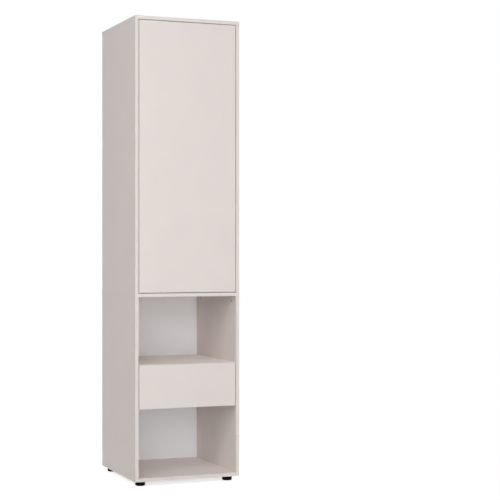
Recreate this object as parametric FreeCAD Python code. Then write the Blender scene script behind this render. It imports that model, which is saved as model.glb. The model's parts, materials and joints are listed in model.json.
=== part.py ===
import FreeCAD, Part
import math
import os
from collections import defaultdict

# Narrow wardrobe column with one inset door, two open niches and one drawer.
# Millimetres. Origin on the floor under the middle of the cabinet, +Z up, front towards -Y,
# and the door's hinges on the right, at +X.

# Driving dimensions of the cabinet
WIDTH = 500.0
DEPTH = 495.0
HEIGHT = 2093.0
BOARD = 16.0
BACK_BOARD = 3.0
LOWER_SIDE_HEIGHT = 804.0
UPPER_NICHE_HEIGHT = 302.0
FRONT_GAP = 3.0
SHELF_FRONT_GAP = 2.0
BACK_EDGE_GAP = 1.0
BAND_RADIUS = 0.8

# Clearances shared by every fit, and how far a cutting tool runs past a face
FIT = 0.05
RUN_FIT = 0.06
PAST = 1.0

# Feet
FOOT_HEIGHT = 23.0
FOOT_DIAMETER = 45.0
FOOT_EDGE_RADIUS = 5.0
FOOT_WELL_DIAMETER = 12.0
FOOT_FLOOR = 6.0
FOOT_SIDE_INSET = 40.0
FOOT_FRONT_INSET = 50.0
FOOT_REAR_INSET = 35.0
FOOT_SCREW_DIAMETER = 4.0
FOOT_SCREW_HEAD_DIAMETER = 8.0
FOOT_SCREW_HEAD_HEIGHT = 3.0
FOOT_SCREW_BITE = 12.0

# Cam locks, their bolts and the dowels of the carcass
CAM_DIAMETER = 12.0
CAM_DEPTH = 12.5
CAM_END_DISTANCE = 24.0
CAM_FRONT_INSET = 51.0
CAM_REAR_INSET = 50.0
CAM_CROSS_LENGTH = 7.0
CAM_CROSS_WIDTH = 1.4
CAM_CROSS_DEPTH = 2.0
CAM_POCKET = 7.4
BOLT_HEAD_DIAMETER = 6.6
BOLT_NECK_DIAMETER = 4.0
BOLT_SHANK_DIAMETER = 7.0
BOLT_THREAD_DIAMETER = 6.0
BOLT_BITE = 11.0
BOLT_HEAD_LENGTH = 3.0
BOLT_BORE_DIAMETER = 8.0
DOWEL_DIAMETER = 8.0
DOWEL_IN_PANEL = 12.0
DOWEL_IN_SIDE = 18.0
DOWEL_PITCH = 32.0

# Long screws up through the bottom panel into the sides
BASE_SCREW_DIAMETER = 6.5
BASE_SCREW_HEAD_DIAMETER = 9.5
BASE_SCREW_HEAD_HEIGHT = 3.0
BASE_SCREW_BITE = 34.0

# Nails of the back panels
NAIL_DIAMETER = 1.6
NAIL_HEAD_DIAMETER = 5.0
NAIL_HEAD_HEIGHT = 0.8
NAIL_LENGTH = 20.0
NAIL_END_DISTANCE = 40.0
NAIL_SPACING = 190.0

# Hanging rail and its cradles
RAIL_DIAMETER = 22.0
RAIL_WALL = 1.2
RAIL_DROP = 83.5
RAIL_DEPTH = 241.0
RAIL_END_GAP = 0.3
CRADLE_PLATE = 2.5
CRADLE_PROUD = 13.0
CRADLE_WALL = 2.2
CRADLE_ABOVE = 26.0
CRADLE_GAP = 0.3
CRADLE_SCREW_RISE = 18.0

# Small wood screws of the cradles, latch and hinge cups
SMALL_SCREW_DIAMETER = 3.5
SMALL_SCREW_HEAD_DIAMETER = 7.0
SMALL_SCREW_HEAD_HEIGHT = 1.8
SMALL_SCREW_BITE = 11.0

# Door hinges: a cup let into the door, an arm with a curved neck, and a plate on the side
HINGE_END_DISTANCE = 101.0
PIVOT_INSET = 16.0
PIN_DIAMETER = 3.0
PIN_SEAT = 1.0
CUP_DIAMETER = 34.9
CUP_WALL = 1.45
CUP_FLOOR = 0.8
CUP_DEPTH = 11.8
CUP_CENTRE_INSET = 22.5
CUP_BORE_EXTRA = 0.2
FLANGE_THICKNESS = 1.2
FLANGE_RIM_DIAMETER = 38.0
FLANGE_LENGTH = 64.0
FLANGE_WIDTH = 24.0
FLANGE_OFFSET = 3.0
CUP_SCREW_PITCH = 48.0
CUP_SCREW_OFFSET = 6.0
CUP_SCREW_BITE = 9.0
EYE_DIAMETER = 5.4
NECK_THICKNESS = 4.8
NECK_REACH = 11.1
NECK_OUTER_THICKNESS = 4.0
NECK_BEND_RADIUS = 3.5
NECK_RUN = 22.0
ARM_WIDTH = 13.0
ARM_SHEET = 1.5
ARM_TOP = 24.0
ARM_FOOT = 6.0
ARM_START = 42.0
ARM_END = 76.0
PLATE_LINE = 53.0
PLATE_THICKNESS = 2.5
PLATE_WING_LENGTH = 48.0
PLATE_WING_WIDTH = 16.0
PLATE_SCREW_PITCH = 32.0
PLATE_SCREW_DIAMETER = 6.0
PLATE_SCREW_HEAD_DIAMETER = 9.0
PLATE_SCREW_HEAD_HEIGHT = 2.4
PLATE_RIB_GAP = 0.1
CLAMP_SCREW_LINE = 66.0
CLAMP_SCREW_DIAMETER = 5.0
CLAMP_SCREW_HEAD_DIAMETER = 8.5
CLAMP_SCREW_HEAD_HEIGHT = 2.2
CLAMP_SCREW_BITE = 9.0
SET_SCREW_LINE = 49.0

# Push latch on the left side, behind the door's free edge
LATCH_RISE = 101.0
LATCH_AXIS = 10.6
LATCH_LENGTH = 62.0
LATCH_BODY_DIAMETER = 15.0
LATCH_WING_LENGTH = 34.0
LATCH_WING_WIDTH = 13.0
LATCH_WING_THICKNESS = 2.5
LATCH_WING_PLACE = 30.0
LATCH_SCREW_PITCH = 24.0
PLUNGER_DIAMETER = 8.0
PLUNGER_PROUD = 7.0
PLUNGER_HIDDEN = 30.0
PLUNGER_TRAVEL = 3.0
TIP_DIAMETER = 6.5
TIP_LENGTH = 2.0
TIP_GAP = 0.3

# Drawer
DRAWER_FRONT_HEIGHT = 196.0
DRAWER_REAR_GAP = 21.0
DRAWER_BOX_RISE = 16.0
DRAWER_BOX_HEIGHT = 120.0
DRAWER_BOTTOM = 3.0
DRAWER_BOTTOM_RISE = 8.0
GROOVE_DEPTH = 6.0
GROOVE_GAP = 0.1
GROOVE_END_GAP = 0.3
DRAWER_CAM_EDGE = 28.0
BACK_SCREW_DIAMETER = 5.0
BACK_SCREW_HEAD_DIAMETER = 8.0
BACK_SCREW_HEAD_HEIGHT = 2.0
BACK_SCREW_BITE = 30.0
BACK_SCREW_EDGE = 25.0

# Roller runners
RUNNER_SPACE = 12.7
RUNNER_SHEET = 1.2
RUNNER_FRONT_GAP = 3.0
RUNNER_REAR_GAP = 22.0
RUNNER_FLANGE_GAP = 1.0
ROLLER_DIAMETER = 22.0
ROLLER_WIDTH = 7.5
ROLLER_LIFT = 1.0
ROLLER_GAP = 0.3
ROLLER_END = 14.0
ROLLER_EDGE_RADIUS = 0.8
RIVET_DIAMETER = 5.0
RIVET_HEAD_DIAMETER = 9.0
RIVET_HEAD_HEIGHT = 0.8
RIVET_END_GAP = 0.2
TRACK_GAP = 1.2
LEDGE_WIDTH = 12.0
LEDGE_BELOW_RAIL = 3.6
RUNNER_SCREW_DIAMETER = 3.5
RUNNER_SCREW_HEAD_DIAMETER = 6.8
RUNNER_SCREW_HEAD_HEIGHT = 1.0
RUNNER_SCREW_BITE = 11.0
RUNNER_SCREW_ENDS = 60.0

# Levels and planes worked out from the sizes above
HALF_WIDTH = WIDTH / 2
X_INNER = HALF_WIDTH - BOARD
Y_FRONT = -DEPTH / 2
Y_REAR = DEPTH / 2
Y_BACK = Y_REAR - BACK_BOARD
Z_BOTTOM = FOOT_HEIGHT
Z_LOWER = Z_BOTTOM + BOARD
Z_MIDDLE = Z_LOWER + LOWER_SIDE_HEIGHT
Z_UPPER = Z_MIDDLE + BOARD
Z_TOP = HEIGHT - BOARD
Z_SHELF_TOP = Z_MIDDLE - UPPER_NICHE_HEIGHT
Z_SHELF = Z_SHELF_TOP - BOARD
Y_DOOR_BACK = Y_FRONT + BOARD
Y_SHELF_FRONT = Y_DOOR_BACK + SHELF_FRONT_GAP
FRONT_HALF_WIDTH = X_INNER - FRONT_GAP
PIVOT_X = FRONT_HALF_WIDTH - PIVOT_INSET
PIVOT_Y = Y_FRONT + BOARD / 2
CUP_X = FRONT_HALF_WIDTH - CUP_CENTRE_INSET
CUP_RADIUS = CUP_DIAMETER / 2
CUP_POCKET_RADIUS = CUP_RADIUS - CUP_WALL
HINGE_HEIGHTS = {"lower": Z_UPPER + HINGE_END_DISTANCE, "upper": Z_TOP - HINGE_END_DISTANCE}
CAM_LINES = (Y_FRONT + CAM_FRONT_INSET, Y_BACK - CAM_REAR_INSET)
Z_DRAWER_FRONT = Z_SHELF_TOP - DRAWER_FRONT_HEIGHT
Z_DRAWER_BOX = Z_DRAWER_FRONT + DRAWER_BOX_RISE
Z_DRAWER_BOX_TOP = Z_DRAWER_BOX + DRAWER_BOX_HEIGHT
Y_DRAWER_END = Y_BACK - DRAWER_REAR_GAP
DRAWER_OUTER = X_INNER - RUNNER_SPACE
DRAWER_INNER = DRAWER_OUTER - BOARD
Z_DRAWER_BOTTOM = Z_DRAWER_BOX + DRAWER_BOTTOM_RISE
Z_RUNNER = Z_DRAWER_BOX - RUNNER_SHEET - LEDGE_BELOW_RAIL
Z_TREAD = Z_RUNNER + RUNNER_SHEET
Z_REAR_ROLLER = Z_TREAD + ROLLER_GAP + ROLLER_DIAMETER / 2
Z_FRONT_ROLLER = Z_REAR_ROLLER + ROLLER_LIFT
Z_TRACK = Z_FRONT_ROLLER + ROLLER_DIAMETER / 2 + ROLLER_GAP
Z_RUNNER_CAP = Z_TRACK + RUNNER_SHEET + TRACK_GAP
Z_DRAWER_SCREW = Z_DRAWER_BOTTOM + DRAWER_BOTTOM + RUNNER_SCREW_DIAMETER
Y_RUNNER = Y_DOOR_BACK + RUNNER_FRONT_GAP
Y_RUNNER_END = Y_BACK - RUNNER_REAR_GAP
Y_FRONT_ROLLER = Y_RUNNER + ROLLER_END
Y_REAR_ROLLER = Y_DRAWER_END - ROLLER_END
LATCH_X = -X_INNER + LATCH_AXIS
LATCH_Z = Z_UPPER + LATCH_RISE
RAIL_Y = Y_FRONT + RAIL_DEPTH
RAIL_Z = Z_TOP - RAIL_DROP
SIDES = {"left": -1, "right": 1}

X_AXIS = FreeCAD.Vector(1, 0, 0)
Y_AXIS = FreeCAD.Vector(0, 1, 0)
Z_AXIS = FreeCAD.Vector(0, 0, 1)

pieces = {}
groups = defaultdict(list)
bores = defaultdict(list)


def box(x0, x1, y0, y1, z0, z1):
    corner = FreeCAD.Vector(min(x0, x1), min(y0, y1), min(z0, z1))
    return Part.makeBox(abs(x1 - x0), abs(y1 - y0), abs(z1 - z0), corner)


def rod(diameter, start, end):
    """Cylinder from one point to another."""
    axis = end - start
    return Part.makeCylinder(diameter / 2, axis.Length, start, axis)


def turned(steps, start, direction):
    """Coaxial cylinders in a row, fused: each step is a diameter and a length."""
    body = None
    point = start
    for diameter, length in steps:
        tip = point + direction * length
        cylinder = rod(diameter, point, tip)
        body = cylinder if body is None else body.fuse(cylinder)
        point = tip
    return body.removeSplitter()


def flat_prism(points, thickness):
    """Solid from a flat outline and the vector that it is pushed along."""
    outline = Part.makePolygon(points + points[:1])
    return Part.Face(outline).extrude(thickness)


def stadium(centre, half_length, half_width, thickness):
    """Upright bar with round ends in the plane across Y or X, pushed along the given vector."""
    across = Z_AXIS.cross(thickness)
    across.normalize()
    straight = half_length - half_width
    corners = []
    for along, side in ((-1, -1), (1, -1), (1, 1), (-1, 1)):
        corners.append(centre + Z_AXIS * (along * straight) + across * (side * half_width))
    bar = flat_prism(corners, thickness)
    for end in (-1, 1):
        middle = centre + Z_AXIS * (end * straight)
        bar = bar.fuse(rod(2 * half_width, middle, middle + thickness))
    return bar.removeSplitter()


def banded(board, keep=lambda reach: True):
    """Board with the edges of its edge bands rounded: those whose own box passes the test."""
    return board.makeFillet(BAND_RADIUS, [edge for edge in board.Edges if keep(edge.BoundBox)])


def bored(name):
    """A piece with every bore that the fittings ask for."""
    if bores[name]:
        pieces[name] = pieces[name].cut(bores[name])


def screw(head_centre, direction, head, shank, bite, cut_names):
    """Screw whose head's underside lies at the point, with a bore in each piece that it enters."""
    crown = head_centre - direction * head[1]
    body = turned([head, (shank, bite)], crown, direction)
    bore = rod(shank + 2 * FIT, crown, head_centre + direction * (bite + FIT))
    for name in cut_names:
        bores[name].append(bore)
    return body


def sunk_screw(face, direction, head, shank, bite, names):
    """Screw with its head let in flush with a face of the first piece named."""
    seat = face + direction * head[1]
    bores[names[0]].append(rod(head[0] + 2 * FIT, face - direction * PAST, seat))
    return screw(seat, direction, head, shank, bite, names)


def local_frame(origin, along, out):
    """Placement whose local X runs along the bolt and whose local Z points out of the board."""
    across = out.cross(along)
    return FreeCAD.Placement(origin, FreeCAD.Rotation(along, across, out, "XZY"))


def bolt_half():
    """From the cam's middle to the board's end: head, neck and shank, along local X."""
    half_head = BOLT_HEAD_LENGTH / 2
    neck_end = CAM_DIAMETER / 2 + 2 * FIT
    steps = [
        (BOLT_HEAD_DIAMETER, BOLT_HEAD_LENGTH),
        (BOLT_NECK_DIAMETER, neck_end - half_head),
        (BOLT_SHANK_DIAMETER, CAM_END_DISTANCE - neck_end),
    ]
    return turned(steps, FreeCAD.Vector(-half_head, 0, -BOARD / 2), X_AXIS)


def cam_drum():
    """Drum flush with the face at local Z 0: cross recess on top, pocket for the bolt's head."""
    drum = rod(CAM_DIAMETER, Z_AXIS * -CAM_DEPTH, FreeCAD.Vector(0, 0, 0))
    reach = CAM_POCKET / 2
    half = CAM_CROSS_LENGTH / 2
    slit = CAM_CROSS_WIDTH / 2
    pocket = box(-reach, CAM_DIAMETER, -reach, reach, -BOARD / 2 - reach, -BOARD / 2 + reach)
    level = box(-half, half, -slit, slit, -CAM_CROSS_DEPTH, PAST)
    upright = box(-slit, slit, -half, half, -CAM_CROSS_DEPTH, PAST)
    return drum.cut([pocket, level, upright])


def cam_joint(origin, along, out, board, cams):
    """Cam lock in a board's face and the bores that it and its bolt's shank need in that board."""
    frame = local_frame(origin, along, out)
    drum_bore = rod(CAM_DIAMETER + 2 * FIT, Z_AXIS * -(CAM_DEPTH + FIT), Z_AXIS * PAST)
    axis_start = FreeCAD.Vector(0, 0, -BOARD / 2)
    shank_bore = rod(BOLT_BORE_DIAMETER, axis_start, axis_start + X_AXIS * (CAM_END_DISTANCE + PAST))
    for tool in (drum_bore, shank_bore):
        tool.Placement = frame
        bores[board].append(tool)
    drum = cam_drum()
    drum.Placement = frame
    groups[cams].append(drum)
    return frame


def single_bolt(frame, mate, bolts):
    """Bolt from a cam into the thickness of the board that the end meets."""
    end = FreeCAD.Vector(CAM_END_DISTANCE, 0, -BOARD / 2)
    thread = rod(BOLT_THREAD_DIAMETER, end, end + X_AXIS * BOLT_BITE)
    bolt = bolt_half().fuse(thread).removeSplitter()
    bore = rod(BOLT_THREAD_DIAMETER + 2 * FIT, end - X_AXIS * PAST, end + X_AXIS * (BOLT_BITE + FIT))
    bolt.Placement = frame
    bore.Placement = frame
    groups[bolts].append(bolt)
    bores[mate].append(bore)


def dowel(seam, direction, panel, side):
    """Wooden dowel across the seam between a panel's face and a side's end."""
    start = seam - direction * DOWEL_IN_SIDE
    end = seam + direction * DOWEL_IN_PANEL
    groups["carcass_dowels"].append(rod(DOWEL_DIAMETER, start, end))
    bore = rod(DOWEL_DIAMETER + 2 * FIT, start - direction * FIT, end + direction * FIT)
    bores[panel].append(bore)
    bores[side].append(bore)


def carcass_boards():
    """Full panels, sides, niche shelf and thin backs, with bands on the edges that show."""
    for name, level in (("bottom_panel", Z_BOTTOM), ("middle_panel", Z_MIDDLE), ("top_panel", Z_TOP)):
        panel = box(-HALF_WIDTH, HALF_WIDTH, Y_FRONT, Y_REAR, level, level + BOARD)
        pieces[name] = banded(panel, lambda reach: reach.YMin < Y_REAR - FIT)
    for hand, sign in SIDES.items():
        for tier, low, high in (("lower", Z_LOWER, Z_MIDDLE), ("upper", Z_UPPER, Z_TOP)):
            board = box(sign * X_INNER, sign * HALF_WIDTH, Y_FRONT, Y_BACK, low, high)
            pieces[f"{tier}_side_{hand}"] = banded(
                board, lambda reach: reach.YMax < Y_FRONT + FIT and reach.ZLength > BOARD)
    shelf = box(-X_INNER, X_INNER, Y_SHELF_FRONT, Y_BACK, Z_SHELF, Z_SHELF_TOP)
    pieces["niche_shelf"] = banded(
        shelf, lambda reach: reach.YMax < Y_SHELF_FRONT + FIT and reach.XLength > BOARD)
    edge = HALF_WIDTH - BACK_EDGE_GAP
    for tier, low, high in (("lower", Z_LOWER, Z_MIDDLE), ("upper", Z_UPPER, Z_TOP)):
        pieces[f"{tier}_back_panel"] = box(-edge, edge, Y_BACK, Y_REAR, low, high)


def base_screw(face, side):
    """Long screw from under the bottom panel into the end of the side that stands on it."""
    head = (BASE_SCREW_HEAD_DIAMETER, BASE_SCREW_HEAD_HEIGHT)
    bite = BOARD - BASE_SCREW_HEAD_HEIGHT + BASE_SCREW_BITE
    fastener = sunk_screw(face, Z_AXIS, head, BASE_SCREW_DIAMETER, bite, ("bottom_panel", side))
    groups["base_screws"].append(fastener)


def carcass_joinery():
    """Screws, cams, bolts and dowels that hold the sides to the panels, and the shelf to the sides."""
    for hand, sign in SIDES.items():
        inward = X_AXIS * -sign
        middle_x = sign * (X_INNER + BOARD / 2)
        for y in CAM_LINES:
            turn = 1 if y == CAM_LINES[0] else -1
            ends = (
                ("lower", "bottom_panel", Z_LOWER, -1, 1),
                ("lower", "middle_panel", Z_MIDDLE, 1, 1),
                ("upper", "middle_panel", Z_UPPER, -1, 2),
                ("upper", "top_panel", Z_TOP, 1, 1),
            )
            for tier, panel, seam, way, pitches in ends:
                side = f"{tier}_side_{hand}"
                along = Z_AXIS * way
                dowel_y = y + turn * pitches * DOWEL_PITCH
                dowel(FreeCAD.Vector(middle_x, dowel_y, seam), along, panel, side)
                if panel == "bottom_panel":
                    base_screw(FreeCAD.Vector(middle_x, y, Z_BOTTOM), side)
                    continue
                origin = FreeCAD.Vector(sign * X_INNER, y, seam - way * CAM_END_DISTANCE)
                frame = cam_joint(origin, along, inward, side, "cam_locks")
                if panel == "top_panel":
                    single_bolt(frame, panel, "cam_bolts")
            double_bolt(FreeCAD.Vector(middle_x, y, Z_MIDDLE))
            shelf_y = y + (Y_SHELF_FRONT - Y_FRONT if turn > 0 else 0)
            origin = FreeCAD.Vector(sign * (X_INNER - CAM_END_DISTANCE), shelf_y, Z_SHELF)
            frame = cam_joint(origin, X_AXIS * sign, -Z_AXIS, "niche_shelf", "cam_locks")
            single_bolt(frame, f"lower_side_{hand}", "cam_bolts")


def double_bolt(seam):
    """Bolt through the middle panel with a head in the cams above and below it."""
    below = bolt_half()
    below.translate(FreeCAD.Vector(-CAM_END_DISTANCE, 0, BOARD / 2))
    down = below.mirror(FreeCAD.Vector(BOARD / 2, 0, 0), X_AXIS)
    through = rod(BOLT_SHANK_DIAMETER, FreeCAD.Vector(0, 0, 0), X_AXIS * BOARD)
    bolt = below.fuse([through, down]).removeSplitter()
    bolt.Placement = local_frame(seam, Z_AXIS, X_AXIS)
    groups["double_cam_bolts"].append(bolt)
    bores["middle_panel"].append(rod(BOLT_SHANK_DIAMETER + 2 * FIT, seam, seam + Z_AXIS * BOARD))


def back_nails():
    """Nails through the thin backs into the sides' rear edges, heads pressed in flush."""
    for tier, low, high in (("lower", Z_LOWER, Z_MIDDLE), ("upper", Z_UPPER, Z_TOP)):
        run = high - low - 2 * NAIL_END_DISTANCE
        count = max(2, round(run / NAIL_SPACING) + 1)
        for hand, sign in SIDES.items():
            for index in range(count):
                z = low + NAIL_END_DISTANCE + run * index / (count - 1)
                head = FreeCAD.Vector(sign * (X_INNER + BOARD / 2), Y_REAR, z)
                steps = [(NAIL_HEAD_DIAMETER, NAIL_HEAD_HEIGHT), (NAIL_DIAMETER, NAIL_LENGTH)]
                groups["back_nails"].append(turned(steps, head, -Y_AXIS))
                fits = [(diameter + 2 * FIT, length + FIT) for diameter, length in steps]
                hole = turned(fits, head, -Y_AXIS)
                bores[f"{tier}_back_panel"].append(hole)
                bores[f"{tier}_side_{hand}"].append(hole)


def feet():
    """Round plastic feet with a well for the screw that holds each one under the bottom panel."""
    rows = (("front", Y_FRONT + FOOT_FRONT_INSET), ("rear", Y_REAR - FOOT_REAR_INSET))
    for row, y in rows:
        for hand, sign in SIDES.items():
            name = f"{row}_{hand}_foot"
            floor = FreeCAD.Vector(sign * (HALF_WIDTH - FOOT_SIDE_INSET), y, 0)
            drum = rod(FOOT_DIAMETER, floor, floor + Z_AXIS * FOOT_HEIGHT)
            rim = [edge for edge in drum.Edges if edge.BoundBox.ZMax < FOOT_EDGE_RADIUS / 2]
            drum = drum.makeFillet(FOOT_EDGE_RADIUS, rim)
            seat = floor + Z_AXIS * (FOOT_HEIGHT - FOOT_FLOOR)
            pieces[name] = drum.cut(rod(FOOT_WELL_DIAMETER, floor, seat))
            head = (FOOT_SCREW_HEAD_DIAMETER, FOOT_SCREW_HEAD_HEIGHT)
            bite = FOOT_FLOOR + FOOT_SCREW_BITE
            fastener = screw(seat, Z_AXIS, head, FOOT_SCREW_DIAMETER, bite, (name, "bottom_panel"))
            groups["foot_screws"].append(fastener)


def small_screw(point, direction, bite, names, group):
    head = (SMALL_SCREW_HEAD_DIAMETER, SMALL_SCREW_HEAD_HEIGHT)
    groups[group].append(screw(point, direction, head, SMALL_SCREW_DIAMETER, bite, names))


def hanging_rail():
    """Tube across the wardrobe, lying in two open-topped cradles."""
    radius = RAIL_DIAMETER / 2
    half = X_INNER - CRADLE_PLATE - RAIL_END_GAP
    ends = [FreeCAD.Vector(sign * half, RAIL_Y, RAIL_Z) for sign in (-1, 1)]
    tube = rod(RAIL_DIAMETER, *ends)
    pieces["hanging_rail"] = tube.cut(rod(RAIL_DIAMETER - 2 * RAIL_WALL, *ends))
    inner = radius + CRADLE_GAP
    outer = inner + CRADLE_WALL
    for hand, sign in SIDES.items():
        name = f"rail_cradle_{hand}"
        wall = FreeCAD.Vector(sign * X_INNER, RAIL_Y, RAIL_Z)
        inward = X_AXIS * -sign
        tip = wall + inward * CRADLE_PROUD
        seat = wall + inward * CRADLE_PLATE
        top = RAIL_Z + CRADLE_ABOVE
        block = rod(2 * outer, wall, tip)
        block = block.fuse(box(wall.x, tip.x, RAIL_Y - outer, RAIL_Y + outer, RAIL_Z, top)).removeSplitter()
        hollow = rod(2 * inner, seat, tip)
        hollow = hollow.fuse(box(seat.x, tip.x, RAIL_Y - inner, RAIL_Y + inner, RAIL_Z, top))
        pieces[name] = block.cut(hollow)
        for rise in (0, CRADLE_SCREW_RISE):
            point = seat + Z_AXIS * rise
            names = (name, f"upper_side_{hand}")
            small_screw(point, -inward, CRADLE_PLATE + SMALL_SCREW_BITE, names, "rail_cradle_screws")


def hinge_cup(tier, z):
    """Steel cup pressed into the door, with a winged flange on the door's inner face and the pin."""
    name = f"hinge_cup_{tier}"
    face = FreeCAD.Vector(CUP_X, Y_DOOR_BACK, z)
    cup = rod(CUP_DIAMETER, face, face - Y_AXIS * CUP_DEPTH)
    cup = cup.fuse(rod(FLANGE_RIM_DIAMETER, face, face + Y_AXIS * FLANGE_THICKNESS))
    wing_centre = face - X_AXIS * FLANGE_OFFSET
    wings = stadium(wing_centre, FLANGE_LENGTH / 2, FLANGE_WIDTH / 2, Y_AXIS * FLANGE_THICKNESS)
    cup = cup.fuse(wings).removeSplitter()
    floor = face - Y_AXIS * (CUP_DEPTH - CUP_FLOOR)
    cup = cup.cut(rod(2 * CUP_POCKET_RADIUS, floor, face + Y_AXIS * 2 * FLANGE_THICKNESS))
    offset = CUP_X - PIVOT_X
    half_pin = math.sqrt(CUP_POCKET_RADIUS ** 2 - offset ** 2) + PIN_SEAT
    pivot = FreeCAD.Vector(PIVOT_X, PIVOT_Y, z)
    groups["hinge_pins"].append(rod(PIN_DIAMETER, pivot - Z_AXIS * half_pin, pivot + Z_AXIS * half_pin))
    seat = half_pin + FIT
    pieces[name] = cup.cut(rod(PIN_DIAMETER + 2 * FIT, pivot - Z_AXIS * seat, pivot + Z_AXIS * seat))
    cup_bore = face - Y_AXIS * (CUP_DEPTH + CUP_BORE_EXTRA)
    bores["door_panel"].append(rod(CUP_DIAMETER + 2 * FIT, cup_bore, face))
    for way in (-1, 1):
        point = face + FreeCAD.Vector(-CUP_SCREW_OFFSET, FLANGE_THICKNESS, way * CUP_SCREW_PITCH / 2)
        small_screw(point, -Y_AXIS, CUP_SCREW_BITE, (name, "door_panel"), "hinge_cup_screws")


def hinge_arm(tier, z):
    """Arm on the cabinet: an eye in the cup, a neck that curls out of it, and a sheet channel."""
    half = ARM_WIDTH / 2
    height = Z_AXIS * ARM_WIDTH
    level = z - half
    neck_in = PIVOT_X - NECK_REACH
    neck_out = neck_in - NECK_OUTER_THICKNESS
    neck_low = PIVOT_Y - NECK_THICKNESS / 2
    neck_end = PIVOT_Y + NECK_RUN

    def corner(x, y):
        return FreeCAD.Vector(x, y, level)

    neck = box(PIVOT_X, neck_out, neck_low, PIVOT_Y + NECK_THICKNESS / 2, level, level + ARM_WIDTH)
    neck = neck.fuse(box(neck_in, neck_out, neck_low, neck_end, level, level + ARM_WIDTH)).removeSplitter()
    bend = []
    for edge in neck.Edges:
        if edge.BoundBox.XMax < neck_out + FIT and edge.BoundBox.YMax < neck_low + FIT:
            bend.append(edge)
    neck = neck.makeFillet(NECK_BEND_RADIUS, bend)
    pivot = FreeCAD.Vector(PIVOT_X, PIVOT_Y, level)
    eye = rod(EYE_DIAMETER, pivot, pivot + height)
    roof = X_INNER - ARM_TOP
    foot = X_INNER - ARM_FOOT
    start = Y_FRONT + ARM_START
    end = Y_FRONT + ARM_END
    outline = [
        corner(neck_out, neck_end),
        corner(roof, start),
        corner(roof, end),
        corner(foot, end),
        corner(foot, start),
        corner(neck_in, neck_end - NECK_OUTER_THICKNESS),
        corner(neck_out, neck_end - NECK_OUTER_THICKNESS),
    ]
    arm = neck.fuse([eye, flat_prism(outline, height)]).removeSplitter()
    inside = half - ARM_SHEET
    channel = box(roof + ARM_SHEET, X_INNER, start, end + PAST, z - inside, z + inside)
    slope = (roof - neck_out) / (start - neck_end)
    skin = ARM_SHEET * math.hypot(1, slope)
    throat = [
        corner(neck_in, neck_end + (neck_in - neck_out - skin) / slope),
        corner(roof + skin, start),
        corner(X_INNER, start),
        corner(X_INNER, neck_end - NECK_OUTER_THICKNESS),
        corner(neck_in, neck_end - NECK_OUTER_THICKNESS),
    ]
    hollow = flat_prism([point + Z_AXIS * ARM_SHEET for point in throat], Z_AXIS * 2 * inside)
    pin_bore = rod(PIN_DIAMETER + 2 * RUN_FIT, pivot, pivot + height)
    name = f"hinge_arm_{tier}"
    pieces[name] = arm.cut([channel, hollow, pin_bore])
    return name


def hinge_plate(tier, z, arm):
    """Winged plate on the side, a rib inside the arm's channel, and the screws of both."""
    name = f"hinge_plate_{tier}"
    side = "upper_side_right"
    line = FreeCAD.Vector(X_INNER, Y_FRONT + PLATE_LINE, z)
    wings = stadium(line, PLATE_WING_LENGTH / 2, PLATE_WING_WIDTH / 2, X_AXIS * -PLATE_THICKNESS)
    rib_half = ARM_WIDTH / 2 - ARM_SHEET - PLATE_RIB_GAP
    rib_top = X_INNER - ARM_TOP + ARM_SHEET + PLATE_RIB_GAP
    start = Y_FRONT + ARM_START + PLATE_RIB_GAP
    rib = box(X_INNER, rib_top, start, Y_FRONT + ARM_END, z - rib_half, z + rib_half)
    pieces[name] = wings.fuse(rib).removeSplitter()
    head = (PLATE_SCREW_HEAD_DIAMETER, PLATE_SCREW_HEAD_HEIGHT)
    for way in (-1, 1):
        point = line + FreeCAD.Vector(-PLATE_THICKNESS, 0, way * PLATE_SCREW_PITCH / 2)
        bite = PLATE_THICKNESS + SMALL_SCREW_BITE
        fastener = screw(point, X_AXIS, head, PLATE_SCREW_DIAMETER, bite, (name, side))
        groups["hinge_plate_screws"].append(fastener)
    roof = X_INNER - ARM_TOP
    clamp = FreeCAD.Vector(roof, Y_FRONT + CLAMP_SCREW_LINE, z)
    head = (CLAMP_SCREW_HEAD_DIAMETER, CLAMP_SCREW_HEAD_HEIGHT)
    bite = ARM_SHEET + CLAMP_SCREW_BITE
    groups["hinge_arm_screws"].append(screw(clamp, X_AXIS, head, CLAMP_SCREW_DIAMETER, bite, (arm, name)))
    grub = FreeCAD.Vector(roof, Y_FRONT + SET_SCREW_LINE, z)
    groups["hinge_arm_screws"].append(rod(CLAMP_SCREW_DIAMETER, grub, grub + X_AXIS * bite))
    hole = rod(CLAMP_SCREW_DIAMETER + 2 * FIT, grub, grub + X_AXIS * (bite + FIT))
    for cut_name in (arm, name):
        bores[cut_name].append(hole)


def door():
    """Inset door and its two hinges."""
    low = Z_UPPER + FRONT_GAP
    high = Z_TOP - FRONT_GAP
    pieces["door_panel"] = banded(
        box(-FRONT_HALF_WIDTH, FRONT_HALF_WIDTH, Y_FRONT, Y_DOOR_BACK, low, high))
    for tier, z in HINGE_HEIGHTS.items():
        hinge_cup(tier, z)
        hinge_plate(tier, z, hinge_arm(tier, z))


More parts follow.
